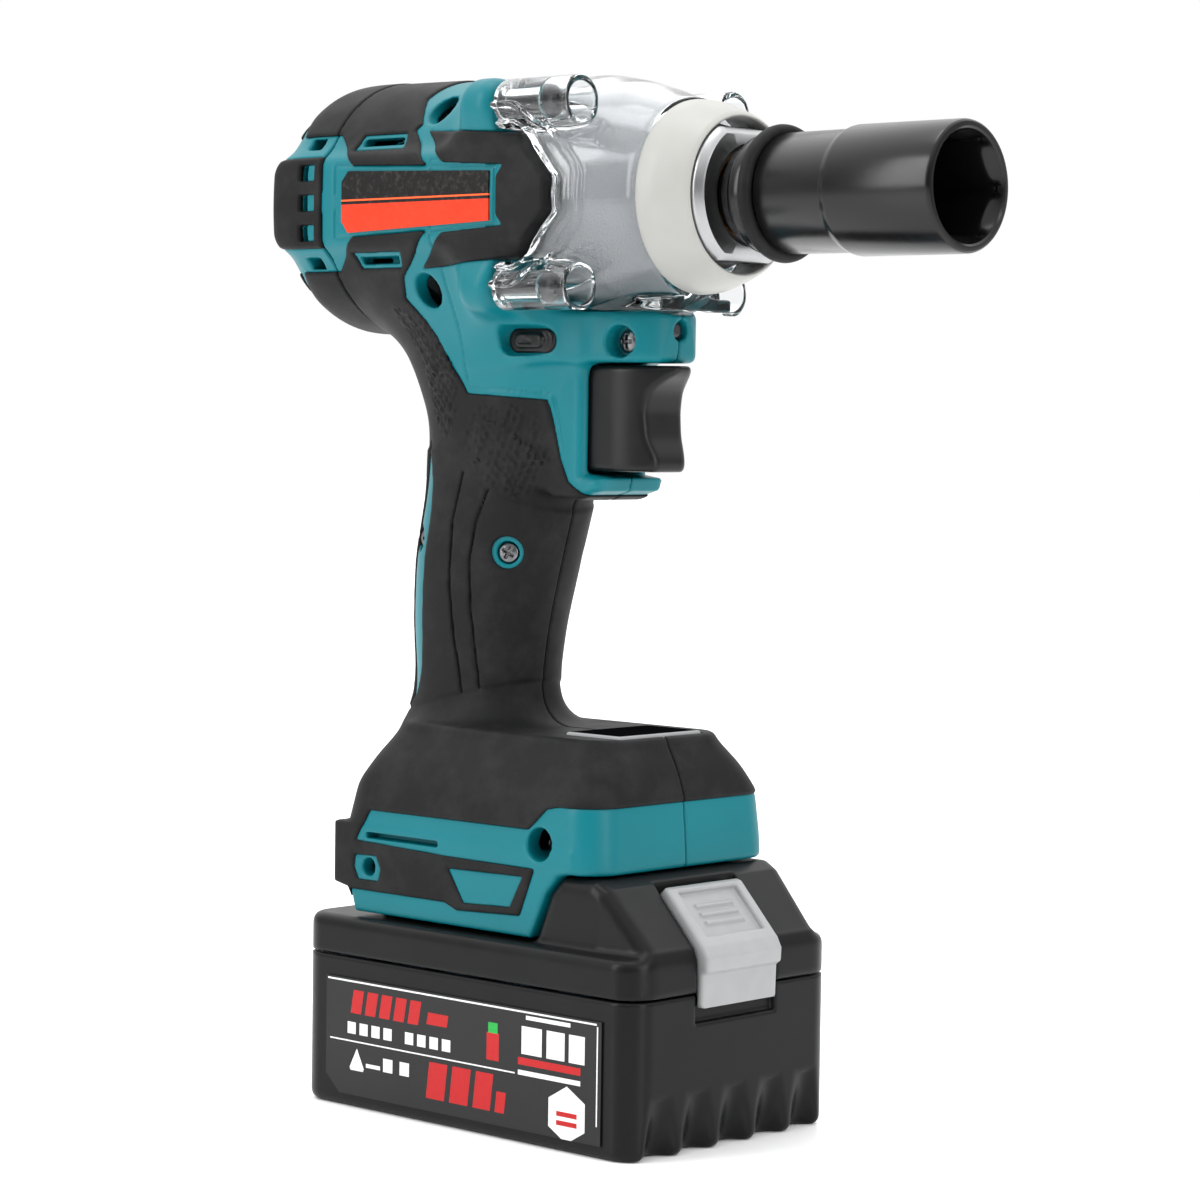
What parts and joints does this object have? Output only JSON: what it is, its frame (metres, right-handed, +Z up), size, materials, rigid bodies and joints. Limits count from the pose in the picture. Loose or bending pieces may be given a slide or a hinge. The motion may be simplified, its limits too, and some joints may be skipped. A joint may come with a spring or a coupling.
{
  "type": "cordless impact wrench",
  "caption": "Pistol-grip cordless impact wrench with a square drive, fitted impact socket, clear nose cover, overmoulded grip and slide-on battery.",
  "frame": {"origin": "centre of the battery's base, on the surface the tool stands on", "axes": "+X towards the socket along the drive axis, +Z up, +Y towards the tool's left side"},
  "size_m": [0.2144, 0.0757, 0.262],
  "materials": {
    "teal_shell": "fine satin",
    "soft_black": "matte overmould",
    "screw_steel": "bright zinc",
    "rating_print": "printed film",
    "cast_alloy": "shot-blasted casting",
    "bronze": "sintered",
    "clear_cover": "clear moulding",
    "milky_bumper": "milky moulding",
    "black_screw": "black oxide",
    "gear_steel": "ground",
    "motor_steel": "laminated",
    "copper_wire": "enamelled wire",
    "circuit_board": "coated board",
    "dark_anvil": "hardened, oiled",
    "impact_socket": "gloss black",
    "hard_black": "satin",
    "display_black": "gloss",
    "battery_print": "printed film",
    "cell_wrap": "heat-shrink",
    "grey_latch": "satin",
    "lamp_lens": "clear"
  },
  "bodies": {
    "tool": {"housing_right": "teal_shell", "housing_left": "teal_shell", "grip_rubber_right": "soft_black", "grip_rubber_left": "soft_black", "head_screw_top": "screw_steel", "head_screw_bottom": "screw_steel", "bracket_screw": "screw_steel", "grip_screw": "screw_steel", "spine_screw": "screw_steel", "foot_screw_front": "screw_steel", "foot_screw_rear": "screw_steel", "rear_cover": "teal_shell", "rear_bumper": "soft_black", "rear_screw_1": "screw_steel", "rear_screw_2": "screw_steel", "rating_plate_right": "rating_print", "rating_plate_left": "rating_print", "hammer_case": "cast_alloy", "anvil_bush": "bronze", "nose_cover": "clear_cover", "nose_bumper": "milky_bumper", "case_screw_1": "black_screw", "case_screw_2": "black_screw", "case_screw_3": "black_screw", "case_screw_4": "black_screw", "ring_gear": "gear_steel", "stator": "motor_steel", "winding_rear": "copper_wire", "winding_front": "copper_wire", "hall_board": "circuit_board", "rear_bearing": "gear_steel", "front_bearing": "gear_steel", "motor_bracket": "cast_alloy", "switch_body": "hard_black", "lamp": "lamp_lens", "control_board": "circuit_board", "terminal_block": "hard_black", "display_panel": "display_black", "trigger_spring": "gear_steel"},
    "rotor": {"rotor_core": "motor_steel", "rotor_shaft": "gear_steel", "fan": "hard_black"},
    "cam": {"cam_shaft": "gear_steel", "hammer_spring": "gear_steel"},
    "planet_1": {"planet_gear_1": "gear_steel"},
    "planet_2": {"planet_gear_2": "gear_steel"},
    "planet_3": {"planet_gear_3": "gear_steel"},
    "hammer_block": {"hammer": "dark_anvil"},
    "anvil_shaft": {"anvil": "dark_anvil"},
    "drive_socket": {"socket": "impact_socket", "socket_ring": "soft_black"},
    "trigger_lever": {"trigger": "hard_black"},
    "direction_switch": {"direction_bar": "hard_black"},
    "battery": {"battery_case": "hard_black", "battery_lid": "hard_black", "cell_pack": "cell_wrap", "battery_label": "battery_print", "latch_spring": "gear_steel"},
    "battery_latch": {"latch": "grey_latch"}
  },
  "joints": [
    {"name": "anvil_spin", "type": "hinge", "parent": "tool", "child": "anvil_shaft", "pos_m": [0.04, 0, 0.2305], "axis": [1, 0, 0], "continuous": true},
    {"name": "cam_spin", "type": "hinge", "parent": "tool", "child": "cam", "pos_m": [0, 0, 0.2305], "axis": [1, 0, 0], "continuous": true},
    {"name": "rotor_spin", "type": "hinge", "parent": "tool", "child": "rotor", "pos_m": [-0.06, 0, 0.2305], "axis": [1, 0, 0], "continuous": true},
    {"name": "planet_1_spin", "type": "hinge", "parent": "cam", "child": "planet_1", "pos_m": [-0.0262, 0.0108, 0.2305], "axis": [1, 0, 0], "continuous": true},
    {"name": "planet_2_spin", "type": "hinge", "parent": "cam", "child": "planet_2", "pos_m": [-0.0262, -0.0054, 0.23985], "axis": [1, 0, 0], "continuous": true},
    {"name": "planet_3_spin", "type": "hinge", "parent": "cam", "child": "planet_3", "pos_m": [-0.0262, -0.0054, 0.22115], "axis": [1, 0, 0], "continuous": true},
    {"name": "hammer_slide", "type": "slide", "parent": "cam", "child": "hammer_block", "axis": [1, 0, 0], "range_m": [-0.008, 0], "stiffness_N_per_m": 6000, "springref_m": 0.004, "deforming": ["hammer_spring"]},
    {"name": "socket_slide", "type": "slide", "parent": "anvil_shaft", "child": "drive_socket", "axis": [1, 0, 0], "range_m": [0, 0.025]},
    {"name": "trigger_pull", "type": "slide", "parent": "tool", "child": "trigger_lever", "axis": [-1, 0, 0], "range_m": [0, 0.007], "stiffness_N_per_m": 700, "springref_m": -0.004, "deforming": ["trigger_spring"]},
    {"name": "direction_slide", "type": "slide", "parent": "tool", "child": "direction_switch", "axis": [0, 1, 0], "range_m": [-0.003, 0.003]},
    {"name": "battery_slide", "type": "slide", "parent": "tool", "child": "battery", "axis": [1, 0, 0], "range_m": [0, 0.11]},
    {"name": "latch_press", "type": "slide", "parent": "battery", "child": "battery_latch", "axis": [0, 0, -1], "range_m": [0, 0.003], "stiffness_N_per_m": 900, "springref_m": -0.002, "deforming": ["latch_spring"]}
  ],
  "couplings": [
    {"joint": "cam_spin", "follows": "anvil_spin", "ratio": 1},
    {"joint": "rotor_spin", "follows": "anvil_spin", "ratio": 6},
    {"joint": "planet_1_spin", "follows": "anvil_spin", "ratio": -2.5},
    {"joint": "planet_2_spin", "follows": "anvil_spin", "ratio": -2.5},
    {"joint": "planet_3_spin", "follows": "anvil_spin", "ratio": -2.5}
  ]
}
